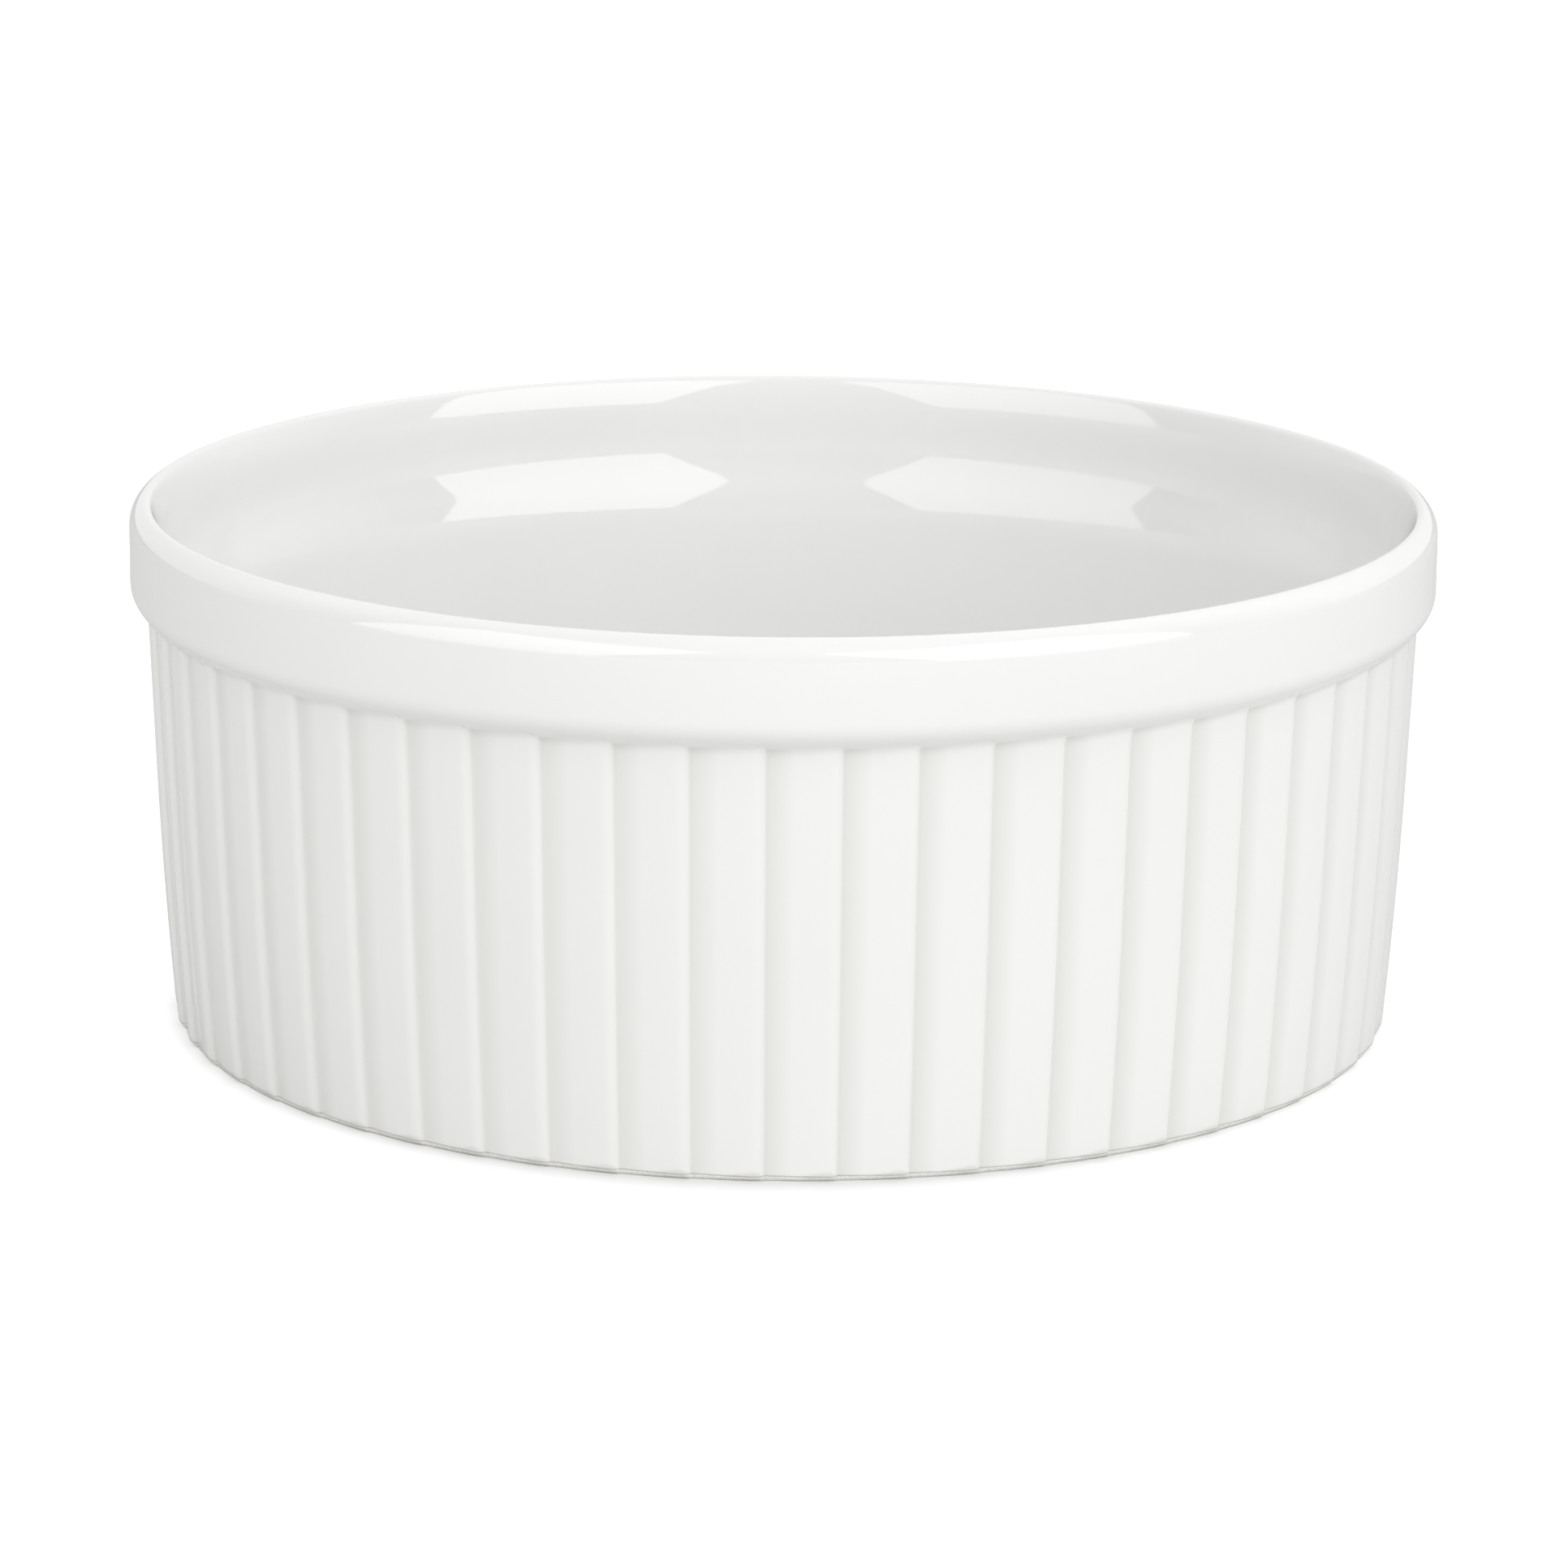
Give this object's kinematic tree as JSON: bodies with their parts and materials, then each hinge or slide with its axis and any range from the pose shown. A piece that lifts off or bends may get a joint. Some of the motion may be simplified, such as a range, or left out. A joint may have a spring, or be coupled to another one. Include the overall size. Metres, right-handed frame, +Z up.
{
  "type": "ramekin",
  "caption": "Large round ramekin or souffle dish with pleated outer wall, plain banded rim and flat foot ring, white glaze over a fired clay body.",
  "frame": {"origin": "centre of the foot ring's bearing face, the lowest point of the dish", "axes": "+Z up the dish's axis towards the open rim, -Y towards the front in the reference picture"},
  "size_m": [0.2032, 0.2032, 0.082],
  "materials": {
    "bare_clay": "matt, fine-grained, unglazed",
    "white_glaze": "smooth gloss"
  },
  "bodies": {
    "root": {"fired_body": "bare_clay", "glaze_coat": "white_glaze"}
  },
  "joints": []
}
